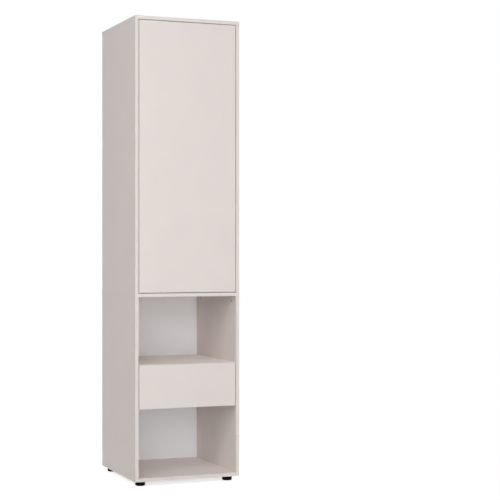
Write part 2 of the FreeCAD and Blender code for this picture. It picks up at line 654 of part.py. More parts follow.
def push_latch():
    """Latch barrel on the left side with a plunger that meets the door's inner face."""
    tip_face = FreeCAD.Vector(LATCH_X, Y_DOOR_BACK + TIP_GAP, LATCH_Z)
    tip_root = tip_face + Y_AXIS * TIP_LENGTH
    mouth = tip_face + Y_AXIS * PLUNGER_PROUD
    end = mouth + Y_AXIS * LATCH_LENGTH
    radius = LATCH_BODY_DIAMETER / 2
    barrel = rod(LATCH_BODY_DIAMETER, mouth, end)
    saddle = box(-X_INNER, LATCH_X, mouth.y, end.y, LATCH_Z - radius, LATCH_Z + radius)
    wing_centre = FreeCAD.Vector(-X_INNER, mouth.y + LATCH_WING_PLACE, LATCH_Z)
    wings = stadium(wing_centre, LATCH_WING_LENGTH / 2, LATCH_WING_WIDTH / 2, X_AXIS * LATCH_WING_THICKNESS)
    body = barrel.fuse([saddle, wings]).removeSplitter()
    hollow = PLUNGER_HIDDEN + PLUNGER_TRAVEL + PAST
    pieces["latch_body"] = body.cut(rod(PLUNGER_DIAMETER + 2 * RUN_FIT, mouth, mouth + Y_AXIS * hollow))
    pieces["latch_plunger"] = rod(PLUNGER_DIAMETER, tip_root, mouth + Y_AXIS * PLUNGER_HIDDEN)
    pieces["latch_tip"] = rod(TIP_DIAMETER, tip_face, tip_root)
    for way in (-1, 1):
        point = wing_centre + FreeCAD.Vector(LATCH_WING_THICKNESS, 0, way * LATCH_SCREW_PITCH / 2)
        bite = LATCH_WING_THICKNESS + SMALL_SCREW_BITE
        small_screw(point, -X_AXIS, bite, ("latch_body", "upper_side_left"), "latch_screws")


def drawer_box():
    """Inset drawer front with a box behind it and a thin bottom held in grooves."""

    def top_edge(reach):
        return reach.ZMin > Z_DRAWER_BOX_TOP - FIT and max(reach.XLength, reach.YLength) > 2 * BOARD

    pieces["drawer_front"] = banded(
        box(-FRONT_HALF_WIDTH, FRONT_HALF_WIDTH, Y_FRONT, Y_DOOR_BACK, Z_DRAWER_FRONT, Z_SHELF_TOP))
    groove_edge = DRAWER_INNER + GROOVE_DEPTH
    groove = box(
        -groove_edge, groove_edge, Y_DOOR_BACK - GROOVE_DEPTH, Y_DRAWER_END + PAST,
        Z_DRAWER_BOTTOM - GROOVE_GAP, Z_DRAWER_BOTTOM + DRAWER_BOTTOM + GROOVE_GAP)
    bores["drawer_front"].append(groove)
    edge = groove_edge - GROOVE_END_GAP
    pieces["drawer_bottom"] = box(
        -edge, edge, Y_DOOR_BACK - GROOVE_DEPTH + GROOVE_END_GAP, Y_DRAWER_END,
        Z_DRAWER_BOTTOM, Z_DRAWER_BOTTOM + DRAWER_BOTTOM)
    back_low = Z_DRAWER_BOTTOM + DRAWER_BOTTOM
    back = box(-DRAWER_INNER, DRAWER_INNER, Y_DRAWER_END - BOARD, Y_DRAWER_END, back_low, Z_DRAWER_BOX_TOP)
    pieces["drawer_back"] = banded(back, top_edge)
    for hand, sign in SIDES.items():
        side = f"drawer_side_{hand}"
        inner, outer = sign * DRAWER_INNER, sign * DRAWER_OUTER
        board = box(inner, outer, Y_DOOR_BACK, Y_DRAWER_END, Z_DRAWER_BOX, Z_DRAWER_BOX_TOP)
        pieces[side] = banded(board, top_edge)
        bores[side].append(groove)
        inward = X_AXIS * -sign
        for z in (Z_DRAWER_BOX + DRAWER_CAM_EDGE, Z_DRAWER_BOX_TOP - DRAWER_CAM_EDGE):
            origin = FreeCAD.Vector(inner, Y_DOOR_BACK + CAM_END_DISTANCE, z)
            frame = cam_joint(origin, -Y_AXIS, inward, side, "drawer_cam_locks")
            single_bolt(frame, "drawer_front", "drawer_cam_bolts")
        head = (BACK_SCREW_HEAD_DIAMETER, BACK_SCREW_HEAD_HEIGHT)
        for z in (back_low + BACK_SCREW_EDGE, Z_DRAWER_BOX_TOP - BACK_SCREW_EDGE):
            face = FreeCAD.Vector(outer, Y_DRAWER_END - BOARD / 2, z)
            bite = BOARD - BACK_SCREW_HEAD_HEIGHT + BACK_SCREW_BITE
            fastener = sunk_screw(face, inward, head, BACK_SCREW_DIAMETER, bite, (side, "drawer_back"))
            groups["drawer_back_screws"].append(fastener)


def runner_rivet(root, direction, carrier):
    """Rivet through a runner's web: shoulder, axle for the roller and a flat head."""
    gap = (RUNNER_SPACE - 2 * RUNNER_SHEET - ROLLER_WIDTH) / 2
    steps = [
        (RIVET_DIAMETER, RUNNER_SHEET),
        (RIVET_HEAD_DIAMETER, gap - RIVET_END_GAP),
        (RIVET_DIAMETER, ROLLER_WIDTH + 2 * RIVET_END_GAP),
        (RIVET_HEAD_DIAMETER, RIVET_HEAD_HEIGHT),
    ]
    hole = rod(RIVET_DIAMETER + 2 * FIT, root, root + direction * RUNNER_SHEET)
    bores[carrier].append(hole)
    return turned(steps, root, direction)


def roller(centre):
    """Nylon wheel with softened rims, turning on its rivet."""
    half = X_AXIS * (ROLLER_WIDTH / 2)
    wheel = rod(ROLLER_DIAMETER, centre - half, centre + half)
    wheel = wheel.makeFillet(ROLLER_EDGE_RADIUS, [edge for edge in wheel.Edges if edge.Closed])
    return wheel.cut(rod(RIVET_DIAMETER + 2 * RUN_FIT, centre - half, centre + half))


def runners():
    """Roller runners: a channel on each side board and a rail under each drawer side."""
    head = (RUNNER_SCREW_HEAD_DIAMETER, RUNNER_SCREW_HEAD_HEIGHT)
    for hand, sign in SIDES.items():
        wall = sign * X_INNER
        web = wall - sign * RUNNER_SHEET
        drawer_face = sign * DRAWER_OUTER
        drawer_web = drawer_face + sign * RUNNER_SHEET
        flange = drawer_web + sign * RUNNER_FLANGE_GAP
        track = web - sign * RUNNER_FLANGE_GAP
        cabinet = f"runner_cabinet_{hand}"
        drawer = f"runner_drawer_{hand}"
        channel = box(wall, web, Y_RUNNER, Y_RUNNER_END, Z_RUNNER, Z_RUNNER_CAP + RUNNER_SHEET)
        tread = box(wall, flange, Y_RUNNER, Y_RUNNER_END, Z_RUNNER, Z_TREAD)
        cap = box(wall, flange, Y_RUNNER, Y_RUNNER_END, Z_RUNNER_CAP, Z_RUNNER_CAP + RUNNER_SHEET)
        pieces[cabinet] = channel.fuse([tread, cap]).removeSplitter()
        ledge_z = Z_DRAWER_BOX - RUNNER_SHEET
        ledge_tip = drawer_face - sign * LEDGE_WIDTH
        upright = box(drawer_face, drawer_web, Y_RUNNER, Y_DRAWER_END, ledge_z, Z_TRACK + RUNNER_SHEET)
        ledge = box(drawer_web, ledge_tip, Y_RUNNER, Y_DRAWER_END, ledge_z, Z_DRAWER_BOX)
        run = box(drawer_face, track, Y_RUNNER, Y_DRAWER_END, Z_TRACK, Z_TRACK + RUNNER_SHEET)
        pieces[drawer] = upright.fuse([ledge, run]).removeSplitter()
        middle = (web + drawer_web) / 2
        inward = X_AXIS * -sign
        front_root = FreeCAD.Vector(wall, Y_FRONT_ROLLER, Z_FRONT_ROLLER)
        rear_root = FreeCAD.Vector(drawer_face, Y_REAR_ROLLER, Z_REAR_ROLLER)
        groups["runner_front_rivets"].append(runner_rivet(front_root, inward, cabinet))
        groups["runner_rear_rivets"].append(runner_rivet(rear_root, -inward, drawer))
        groups["front_rollers"].append(roller(FreeCAD.Vector(middle, Y_FRONT_ROLLER, Z_FRONT_ROLLER)))
        groups["rear_rollers"].append(roller(FreeCAD.Vector(middle, Y_REAR_ROLLER, Z_REAR_ROLLER)))
        bite = RUNNER_SHEET - RUNNER_SCREW_HEAD_HEIGHT + RUNNER_SCREW_BITE
        for y in (Y_RUNNER + RUNNER_SCREW_ENDS, Y_DRAWER_END - RUNNER_SCREW_ENDS):
            cabinet_web = FreeCAD.Vector(web, y, Z_REAR_ROLLER)
            rail_web = FreeCAD.Vector(drawer_web, y, Z_DRAWER_SCREW)
            for face, way, names, group in (
                (cabinet_web, -inward, (cabinet, f"lower_side_{hand}"), "runner_cabinet_screws"),
                (rail_web, inward, (drawer, f"drawer_side_{hand}"), "runner_drawer_screws"),
            ):
                groups[group].append(sunk_screw(face, way, head, RUNNER_SCREW_DIAMETER, bite, names))


carcass_boards()
carcass_joinery()
back_nails()
feet()
hanging_rail()
door()
push_latch()
drawer_box()
runners()

for piece_name in list(pieces):
    bored(piece_name)
for group_name, solids in groups.items():
    pieces[group_name] = Part.makeCompound(solids)

os.makedirs("parts", exist_ok=True)
for node, shape in pieces.items():
    shape.exportStep(f"parts/{node}.step")
    print(node, "solids:", len(shape.Solids), "volume mm3:", round(shape.Volume))
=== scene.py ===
# %% [markdown]
# # A narrow wardrobe column
# The cabinet is a tall flat-pack column: a hanging space behind an inset door, two open niches and a
# drawer, on four low feet. Its CAD parts come in at their true size and place and stay where they are. This
# lesson adds what the eye reads: the camera, the light, the finishes, softened metal and plastic, and real
# screw heads. Lengths are in metres, unless a name ends in MM, and MM is one millimetre.

# %% Load the cabinet as a fixed frame
import json
import math
from collections import defaultdict

import bmesh
import bpy
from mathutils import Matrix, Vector

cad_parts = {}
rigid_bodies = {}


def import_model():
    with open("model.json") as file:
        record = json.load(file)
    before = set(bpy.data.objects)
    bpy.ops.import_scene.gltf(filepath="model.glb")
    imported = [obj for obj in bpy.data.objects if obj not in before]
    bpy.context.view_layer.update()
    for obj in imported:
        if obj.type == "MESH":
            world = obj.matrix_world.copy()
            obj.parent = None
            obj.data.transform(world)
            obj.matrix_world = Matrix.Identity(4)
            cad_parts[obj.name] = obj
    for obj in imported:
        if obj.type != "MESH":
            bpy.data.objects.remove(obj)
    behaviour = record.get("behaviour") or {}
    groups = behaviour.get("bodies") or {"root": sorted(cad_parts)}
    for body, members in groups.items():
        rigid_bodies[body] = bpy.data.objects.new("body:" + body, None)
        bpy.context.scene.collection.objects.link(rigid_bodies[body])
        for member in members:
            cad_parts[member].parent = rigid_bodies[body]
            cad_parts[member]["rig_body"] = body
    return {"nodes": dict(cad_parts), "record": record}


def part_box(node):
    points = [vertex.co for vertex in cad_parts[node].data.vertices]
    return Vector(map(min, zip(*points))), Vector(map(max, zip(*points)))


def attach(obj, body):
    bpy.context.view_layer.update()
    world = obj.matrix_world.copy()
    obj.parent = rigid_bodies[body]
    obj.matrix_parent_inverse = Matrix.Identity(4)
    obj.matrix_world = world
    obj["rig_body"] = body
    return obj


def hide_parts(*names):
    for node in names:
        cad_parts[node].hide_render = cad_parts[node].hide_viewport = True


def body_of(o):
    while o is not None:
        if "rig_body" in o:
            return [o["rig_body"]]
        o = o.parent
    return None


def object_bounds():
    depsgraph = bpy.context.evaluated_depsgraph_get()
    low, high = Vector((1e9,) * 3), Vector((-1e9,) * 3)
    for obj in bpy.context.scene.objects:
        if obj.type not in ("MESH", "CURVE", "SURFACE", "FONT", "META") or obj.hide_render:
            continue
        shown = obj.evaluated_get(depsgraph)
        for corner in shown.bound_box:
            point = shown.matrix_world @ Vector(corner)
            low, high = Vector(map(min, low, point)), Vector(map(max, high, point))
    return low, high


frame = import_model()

nodes = frame["nodes"]
record = frame["record"]
cad_low, cad_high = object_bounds()
MM = 0.001
print("CAD nodes:", len(nodes), "height in mm:", round((cad_high.z - cad_low.z) / MM))

# %% [markdown]
# ## Where the photographer stands
# The picture is taken from the left at half the cabinet's height, with the camera level, so upright edges
# stay upright. A long lens keeps the front nearly square. The cabinet stands left of the middle of the
# picture. The camera could be turned for that, but then the shelves' lines would run together in another
# way, so a lens shift moves the picture instead.

# %% Camera
EYE_LEFT = 2.1238
EYE_AHEAD = 5.791
EYE_HEIGHT = 1.0524
HEADING_DEGREES = 20.446
LEVEL_DEGREES = 90
SENSOR_MM = 36.0
LENS_MM = 95.16
SHIFT_RIGHT = 0.1478

camera_data = bpy.data.cameras.new("camera")
camera_data.sensor_width = SENSOR_MM
camera_data.lens = LENS_MM
camera_data.shift_x = SHIFT_RIGHT
camera = bpy.data.objects.new("camera", camera_data)
camera.location = (-EYE_LEFT, -EYE_AHEAD, EYE_HEIGHT)
camera.rotation_euler = (math.radians(LEVEL_DEGREES), 0, -math.radians(HEADING_DEGREES))
bpy.context.collection.objects.link(camera)
bpy.context.scene.camera = camera
bpy.context.scene.view_settings.view_transform = "Standard"
print("camera at", tuple(round(value, 3) for value in camera.location), "lens", LENS_MM, "mm")

# %% [markdown]
# ## Node helpers
# Every material and every node tree below is a handful of nodes and links. They could be set by hand in the
# editor, but a script gives the same tree each time. Two small helpers keep the cells short: one adds a
# node with its settings and inputs, the other tells what is looked at from what only sends light on.

# %% Helpers for node trees
def add_node(tree, kind, inputs=None, **settings):
    """New node; inputs maps a socket's name or number to a value or to another node's output."""
    node = tree.nodes.new(kind)
    for name, value in settings.items():
        setattr(node, name, value)
    for key, value in (inputs or {}).items():
        if isinstance(value, bpy.types.NodeSocket):
            tree.links.new(value, node.inputs[key])
        else:
            node.inputs[key].default_value = value
    return node


def light_path_mask(tree):
    """1 for what the camera sees directly, in a mirror or through glass, 0 for light that bounces."""
    path = add_node(tree, "ShaderNodeLightPath")
    mirrored = add_node(
        tree, "ShaderNodeMath", {0: path.outputs["Is Camera Ray"], 1: path.outputs["Is Glossy Ray"]},
        operation="MAXIMUM")
    seen = add_node(
        tree, "ShaderNodeMath", {0: mirrored.outputs[0], 1: path.outputs["Is Transmission Ray"]},
        operation="MAXIMUM")
    return seen.outputs[0]


print("node helpers ready")

# %% [markdown]
# ## Background
# The cabinet was shot against plain white, in a room that sends soft light back from all round. Lamps alone
# would leave its hollows too dark. So the background is dim where it lights the cabinet, and plain white
# only where the camera, a mirror or glass looks at it.

# %% World
AMBIENT = 0.16
WHITE = (1, 1, 1, 1)

world = bpy.data.worlds.new("studio")
world.use_nodes = True
bpy.context.scene.world = world
tree = world.node_tree
tree.nodes.clear()
soft = add_node(tree, "ShaderNodeBackground", {"Color": WHITE, "Strength": AMBIENT})
plain = add_node(tree, "ShaderNodeBackground", {"Color": WHITE, "Strength": 1.0})
shown = add_node(
    tree, "ShaderNodeMixShader",
    {0: light_path_mask(tree), 1: soft.outputs[0], 2: plain.outputs[0]})
add_node(tree, "ShaderNodeOutputWorld", {"Surface": shown.outputs[0]})
print("ambient light", AMBIENT)

# %% [markdown]
# ## Paper floor
# The cabinet stands on white paper with only a faint shadow round its feet. A shadow catcher would leave
# the picture to be put together afterwards, so the floor's material does it. It bounces light as pale paper
# does, and to the camera it glows, with the shadow on it. Away from the cabinet it fades into plain white,
# so no edge shows between floor and background.

# %% Floor
FLOOR_SIZE = 60.0
FLOOR_BOUNCE = (0.82, 0.82, 0.82, 1)
FLOOR_GLOW = 0.66
FLOOR_SHADE = (0.95, 0.95, 0.95, 1)
SHADOW_FULL = 0.5
SHADOW_GONE = 1.4

paper = bpy.data.materials.new("white_paper")
paper.use_nodes = True
tree = paper.node_tree
tree.nodes.clear()
bounce = add_node(tree, "ShaderNodeBsdfDiffuse", {"Color": FLOOR_BOUNCE})
glow = add_node(tree, "ShaderNodeEmission", {"Color": WHITE, "Strength": FLOOR_GLOW})
shade = add_node(tree, "ShaderNodeBsdfDiffuse", {"Color": FLOOR_SHADE})
lit = add_node(tree, "ShaderNodeAddShader", {0: glow.outputs[0], 1: shade.outputs[0]})
blank = add_node(tree, "ShaderNodeEmission", {"Color": WHITE, "Strength": 1.0})
place = add_node(tree, "ShaderNodeTexCoord").outputs["Object"]
away = add_node(tree, "ShaderNodeVectorMath", {0: place}, operation="LENGTH")
fade = add_node(
    tree, "ShaderNodeMapRange",
    {"Value": away.outputs["Value"], "From Min": SHADOW_FULL, "From Max": SHADOW_GONE},
    interpolation_type="SMOOTHSTEP")
faded = add_node(
    tree, "ShaderNodeMixShader", {0: fade.outputs[0], 1: lit.outputs[0], 2: blank.outputs[0]})
seen = add_node(
    tree, "ShaderNodeMixShader",
    {0: light_path_mask(tree), 1: bounce.outputs[0], 2: faded.outputs[0]})
add_node(tree, "ShaderNodeOutputMaterial", {"Surface": seen.outputs[0]})

floor_mesh = bpy.data.meshes.new("floor")
half = FLOOR_SIZE / 2
corners = [(-half, -half, 0), (half, -half, 0), (half, half, 0), (-half, half, 0)]
floor_mesh.from_pydata(corners, [], [(0, 1, 2, 3)])
floor_mesh.materials.append(paper)
floor = bpy.data.objects.new("floor", floor_mesh)
bpy.context.collection.objects.link(floor)
print("floor", FLOOR_SIZE, "m across, its shadow gone", SHADOW_GONE, "m from the middle")

# %% [markdown]
# ## Softboxes
# The front is a little brighter than the left side, and light reaches deep into the niches, so the key lamp
# stands at the left, near the camera, and a smaller one further round lights the left side. A high lamp
# gives the tops their light, a low one in front lifts the undersides as the pale floor of a studio does,
# and one at the right reaches the left part of the niches' backs. Small lamps would draw hard shadows, so
# each is a large square. A rear lamp is out of the picture's reach and serves the views from behind.

# %% Lamps
LAMP_COLOUR = (0.962, 1.0, 1.022)
PLAIN_LIGHT = (1, 1, 1)
middle = (cad_low + cad_high) / 2


def softbox(name, left, up, distance, size, watts, colour=LAMP_COLOUR):
    """Lamp that faces the cabinet's middle, from so many degrees left of straight ahead and degrees up."""
    turn, rise = math.radians(left), math.radians(up)
    away = Vector((-math.sin(turn) * math.cos(rise), -math.cos(turn) * math.cos(rise), math.sin(rise)))
    place = middle + away * distance
    data = bpy.data.lights.new(name, "AREA")
    data.shape = "SQUARE"
    data.size = size
    data.energy = watts
    data.color = colour
    lamp = bpy.data.objects.new(name, data)
    lamp.location = place
    lamp.rotation_euler = (middle - place).to_track_quat("-Z", "Y").to_euler()
    bpy.context.collection.objects.link(lamp)


softbox("key_softbox", left=26, up=9, distance=12, size=4.0, watts=291)
softbox("side_softbox", left=55, up=20, distance=4.7, size=2.2, watts=60)
softbox("low_softbox", left=0, up=-4, distance=5.5, size=1.0, watts=45)
softbox("high_softbox", left=18, up=47, distance=12, size=3.6, watts=163)
softbox("right_softbox", left=-25, up=10, distance=8, size=2.5, watts=46)
softbox("rear_softbox", left=205, up=20, distance=6, size=2.5, watts=130, colour=PLAIN_LIGHT)
print("lamps aimed at", tuple(round(value, 2) for value in middle))

# %% [markdown]
# ## Finishes
# Each finish is one function. Picture textures would need every part to be unwrapped, so the patterns are
# made by nodes that read Object coordinates. Those are metres in the cabinet's own frame: a grain or an
# orange peel has its true size on every part and runs on from one board to the next. In each finish, one
# fine pattern drives both the gloss and the relief, as it does on a real surface.

# %% Start and end of a finish
def start_finish(name, metallic=0.0, gloss=0.5):
    """New material; returns it with its tree, its shader and the object coordinates."""
    material = bpy.data.materials.new(name)
    material.use_nodes = True
    tree = material.node_tree
    tree.nodes.clear()
    shader = add_node(
        tree, "ShaderNodeBsdfPrincipled", {"Metallic": metallic, "Specular IOR Level": gloss})
    add_node(tree, "ShaderNodeOutputMaterial", {"Surface": shader.outputs[0]})
    place = add_node(tree, "ShaderNodeTexCoord").outputs["Object"]
    return material, tree, shader, place


def noise(tree, place, scale, detail=2.0, roughness=0.5):
    """Soft random pattern with about that many blotches to the metre."""
    node = add_node(
        tree, "ShaderNodeTexNoise",
        {"Vector": place, "Scale": scale, "Detail": detail, "Roughness": roughness})
    return node.outputs["Fac"]


def two_tones(tree, pattern, dark, light, spread=0.18):
    """Colour that follows a pattern from dark to light; spread is half the width of the change."""
    ramp = add_node(tree, "ShaderNodeValToRGB", {"Fac": pattern})
    for element, side, tone in zip(ramp.color_ramp.elements, (-1, 1), (dark, light)):
        element.position = 0.5 + side * spread
        element.color = (*tone, 1)
    return ramp.outputs["Color"]


def end_finish(tree, shader, colour, pattern, roughness, relief, strength):
    """Colour of the finish, and its roughness range and relief in metres, which follow one pattern."""
    low, high = roughness
    rough = add_node(tree, "ShaderNodeMapRange", {"Value": pattern, "To Min": low, "To Max": high})
    bump = add_node(tree, "ShaderNodeBump", {"Height": pattern, "Distance": relief, "Strength": strength})
    tree.links.new(colour, shader.inputs["Base Color"])
    tree.links.new(rough.outputs[0], shader.inputs["Roughness"])
    tree.links.new(bump.outputs[0], shader.inputs["Normal"])


print("finish helpers ready")

# %% [markdown]
# ### Melamine board
# The boards are chipboard faced with matt, warm grey-beige melamine. Up close the paper has a fine pearl
# relief and a barely uneven tone. Seen along the board, the relief catches the light and the face looks
# paler, which the shader's sheen does: a plain matt face would leave the shelf and the bottom too dark.
# Visible edges carry a plastic band 1 mm thick, and its glue line is a hairline in the face. Where a side
# board meets a full panel, the joint shows as the same hairline, just inside the board's end. Grooves as
# fine as that would need tiny faces along every edge, so the colour draws them, where a coordinate lies
# close to a plane. Their dark tone is partly the glue's own colour and partly painted shade in the groove.

# %% Melamine
GLUE_LINE = 0.2 * MM
# Dark tone of the hairlines: the glue's own colour and painted shade in the fine grooves
GLUE_AND_SHADE_TONE = (0.42, 0.385, 0.36, 1)
MELAMINE_DARK = (0.784, 0.697, 0.655)
MELAMINE_LIGHT = (0.802, 0.713, 0.669)
MELAMINE_GLOSS = 0.3
PEARL_SHEEN = {"Sheen Weight": 0.5, "Sheen Roughness": 0.4, "Sheen Tint": (1.0, 0.9, 0.84, 1)}
CHIP_DARK = (0.30, 0.19, 0.10)
CHIP_LIGHT = (0.56, 0.41, 0.25)
CHIPS_PER_METRE = 420.0


def near_plane(tree, coordinate, plane, reach):
    """1 where a coordinate lies within reach of a plane."""
    node = add_node(
        tree, "ShaderNodeMath", {0: coordinate, 1: plane, 2: reach}, operation="COMPARE")
    return node.outputs[0]


def masked(tree, mask, under, over):
    """The first colour where a mask is 0, the second where it is 1."""
    mix = add_node(tree, "ShaderNodeMix", {"Factor": mask, "A": under, "B": over}, data_type="RGBA")
    return mix.outputs["Result"]


def melamine(name, hairline_planes, bare_rear=None):
    """Board finish; the planes list the hairlines, painted dark as glue and groove shade, by axis and place,
    bare_rear is a plane with no band.
    """
    material, tree, shader, place = start_finish(name, gloss=MELAMINE_GLOSS)
    clouds = noise(tree, place, scale=9.0, detail=5.0)
    colour = two_tones(tree, clouds, MELAMINE_DARK, MELAMINE_LIGHT)
    split = add_node(tree, "ShaderNodeSeparateXYZ", {"Vector": place})
    # Each hairline is painted dark: the glue's tone plus the shade that a fine groove would hold
    for axis, plane in hairline_planes:
        line = near_plane(tree, split.outputs[axis], plane, GLUE_LINE / 2)
        colour = masked(tree, line, colour, GLUE_AND_SHADE_TONE)
    if bare_rear is not None:
        flakes = add_node(tree, "ShaderNodeTexVoronoi", {"Vector": place, "Scale": CHIPS_PER_METRE})
        chips = two_tones(tree, flakes.outputs["Color"], CHIP_DARK, CHIP_LIGHT, spread=0.3)
        bare = near_plane(tree, split.outputs["Y"], bare_rear, GLUE_LINE)
        colour = masked(tree, bare, colour, chips)
    pearl = noise(tree, place, scale=900.0)
    end_finish(tree, shader, colour, pearl, roughness=(0.44, 0.54), relief=0.08 * MM, strength=0.35)
    for socket, value in PEARL_SHEEN.items():
        shader.inputs[socket].default_value = value
    return material


print("melamine ready, glue lines in mm:", round(GLUE_LINE / MM, 2))

# %% [markdown]
# ### Bands and joints of this cabinet
# The carcass boards have a band at the front only. The door and the drawer front have one all round, and
# the rear edges of the three full panels have none, so the bare chipboard shows there. One board finish for
# all would draw lines where there are none, so each kind has its own, with its planes measured from the
# frame.

# %% Melamine of the carcass, the door and the drawer front
BAND = 1.0 * MM
SEAM_INSET = 0.15 * MM


def front_board(node):
    """Melamine of a door or drawer front, banded all round."""
    low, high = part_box(node)
    planes = [("X", low[0] + BAND), ("X", high[0] - BAND), ("Z", low[2] + BAND), ("Z", high[2] - BAND)]
    return melamine(f"{node}_melamine", planes)


front_band = [("Y", cad_low.y + BAND)]
board_ends = []
for side in ("lower_side_left", "upper_side_left"):
    low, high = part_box(side)
    board_ends += [("Z", low[2] + SEAM_INSET), ("Z", high[2] - SEAM_INSET)]
carcass_board = melamine("carcass_melamine", front_band + board_ends, bare_rear=cad_high.y)
door_board = front_board("door_panel")
drawer_board = front_board("drawer_front")
print("melamine:", carcass_board.name, door_board.name, drawer_board.name)

# %% [markdown]
# ### White and dark finishes
# The thin backs and the drawer's bottom are hardboard with a smooth white lacquer. The rail and the runners
# are powder coated, which leaves a slight orange peel. The rollers, rail cradles and latch are moulded
# plastic with a fine spark texture, and so are the black feet. The latch's tip is rubber. One white for all
# would make them look like one casting, so three functions keep their relief and gloss apart.

# %% White lacquer, powder coat and moulded plastic
LACQUER_DARK = (0.925, 0.912, 0.912)
LACQUER_LIGHT = (0.945, 0.932, 0.932)
COAT_DARK = (0.76, 0.76, 0.755)
COAT_LIGHT = (0.80, 0.80, 0.795)


def white_lacquer():
    """Lacquer with the faint marks of the roller that laid it on."""
    material, tree, shader, place = start_finish("white_lacquer")
    tone = two_tones(tree, noise(tree, place, scale=6.0, detail=3.0), LACQUER_DARK, LACQUER_LIGHT)
    roller_marks = noise(tree, place, scale=260.0)
    end_finish(tree, shader, tone, roller_marks, roughness=(0.38, 0.48), relief=0.05 * MM, strength=0.2)
    return material


def powder_coat():
    """Baked powder with its orange peel."""
    material, tree, shader, place = start_finish("white_powder_coat")
    tone = two_tones(tree, noise(tree, place, scale=40.0, detail=3.0), COAT_DARK, COAT_LIGHT)
    peel = noise(tree, place, scale=420.0, detail=1.0)
    end_finish(tree, shader, tone, peel, roughness=(0.30, 0.40), relief=0.12 * MM, strength=0.3)
    return material


def moulded_plastic(name, dark, light, roughness, gloss=0.5):
    """Plastic or rubber with the spark texture of its mould."""
    material, tree, shader, place = start_finish(name, gloss=gloss)
    tone = two_tones(tree, noise(tree, place, scale=120.0, detail=3.0), dark, light)
    spark = noise(tree, place, scale=1600.0)
    end_finish(tree, shader, tone, spark, roughness, relief=0.06 * MM, strength=0.3)
    return material


lacquer = white_lacquer()
coat = powder_coat()
white_plastic = moulded_plastic(
    "white_moulding", dark=(0.74, 0.74, 0.73), light=(0.78, 0.78, 0.77), roughness=(0.42, 0.55))
black_plastic = moulded_plastic(
    "black_moulding", dark=(0.002, 0.002, 0.002), light=(0.004, 0.004, 0.004),
    roughness=(0.6, 0.75), gloss=0.08)
rubber = moulded_plastic(
    "tip_rubber", dark=(0.028, 0.028, 0.03), light=(0.05, 0.05, 0.052), roughness=(0.75, 0.9))
for finish in (lacquer, coat, white_plastic, black_plastic, rubber):
    print("finish:", finish.name)

# %% [markdown]
# ### Metals
# The hinges are nickel plated and keep a soft sheen with faint rolling marks from the sheet. Screws, pins
# and bolts are zinc plated, slightly cloudy. The cam drums are die-cast zinc, darker and rougher. All three
# are nearly grey, so one cloudy pattern for tone, gloss and relief is enough, and stretching it turns
# clouds into rolling marks.

# %% Nickel, zinc plate and die-cast zinc
def metal(name, dark, light, roughness, clouds, stretch=(1, 1, 1)):
    """Metal with so many clouds to the metre, stretched along the sheet's rolling marks."""
    material, tree, shader, place = start_finish(name, metallic=1.0)
    along = add_node(tree, "ShaderNodeMapping", {"Vector": place, "Scale": stretch})
    marks = noise(tree, along.outputs[0], scale=clouds, detail=4.0)
    tone = two_tones(tree, marks, dark, light)
    end_finish(tree, shader, tone, marks, roughness, relief=0.02 * MM, strength=0.25)
    return material


nickel = metal(
    "nickel_plate", dark=(0.56, 0.55, 0.52), light=(0.66, 0.65, 0.62), roughness=(0.24, 0.36),
    clouds=700.0, stretch=(1, 1, 0.08))
zinc_plate = metal(
    "zinc_plate", dark=(0.52, 0.53, 0.54), light=(0.64, 0.65, 0.66), roughness=(0.28, 0.42), clouds=500.0)
cast_zinc = metal(
    "cast_zinc", dark=(0.40, 0.385, 0.36), light=(0.52, 0.50, 0.47), roughness=(0.42, 0.6), clouds=1400.0)
print("metals:", nickel.name, zinc_plate.name, cast_zinc.name)

# %% [markdown]
# ### Beech
# Dowels are turned from beech: pale wood with short darker flecks along the grain, which runs upright here
# as the dowels do. Rings of growth would hardly show on so thin a rod, so stretched noise is enough for the
# flecks.

# %% Beech
BEECH_DARK = (0.46, 0.29, 0.16)
BEECH_LIGHT = (0.66, 0.47, 0.30)
UPRIGHT_GRAIN = (1, 1, 0.06)


def beech_wood():
    """Beech with flecks along an upright grain."""
    material, tree, shader, place = start_finish("beech_wood")
    along = add_node(tree, "ShaderNodeMapping", {"Vector": place, "Scale": UPRIGHT_GRAIN})
    flecks = noise(tree, along.outputs[0], scale=900.0, detail=3.0, roughness=0.6)
    tone = two_tones(tree, flecks, BEECH_DARK, BEECH_LIGHT)
    end_finish(tree, shader, tone, flecks, roughness=(0.55, 0.7), relief=0.05 * MM, strength=0.3)
    return material


beech = beech_wood()
print("wood:", beech.name)

# %% [markdown]
# ## Dressing the CAD parts
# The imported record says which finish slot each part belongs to. Naming every part here would go wrong as
# soon as one is added, so one table turns slots into materials. Only the door and the drawer front differ
# from their slot's board, because their bands run all round.

# %% Finishes on the CAD parts
SLOT_FINISH = {
    "melamine_board": carcass_board,
    "white_board": lacquer,
    "white_metal": coat,
    "white_plastic": white_plastic,
    "black_plastic": black_plastic,
    "dark_rubber": rubber,
    "nickel": nickel,
    "steel": zinc_plate,
    "zinc": cast_zinc,
    "beech": beech,
}
slot_of = {part["node"]: part["material_slot"] for part in record["subparts"]}
for name, part in nodes.items():
    part.data.materials.clear()
    part.data.materials.append(SLOT_FINISH[slot_of[name]])
for name, finish in (("door_panel", door_board), ("drawer_front", drawer_board)):
    nodes[name].data.materials[0] = finish
print("parts dressed:", len(nodes))

# %% [markdown]
# ## Screws and nails
# The CAD model holds a screw as a head and a shank on one axis. The eye expects more: a domed or flat
# crown, a soft rim and a recess for the driver. Places, directions and sizes could be typed in again, but
# measured from the CAD solids they follow the cabinet when it changes.

# %% Measure the fasteners of a CAD part
WELD = 0.001 * MM
SAME_PLANE = 0.01 * MM
WIDER = 1.02


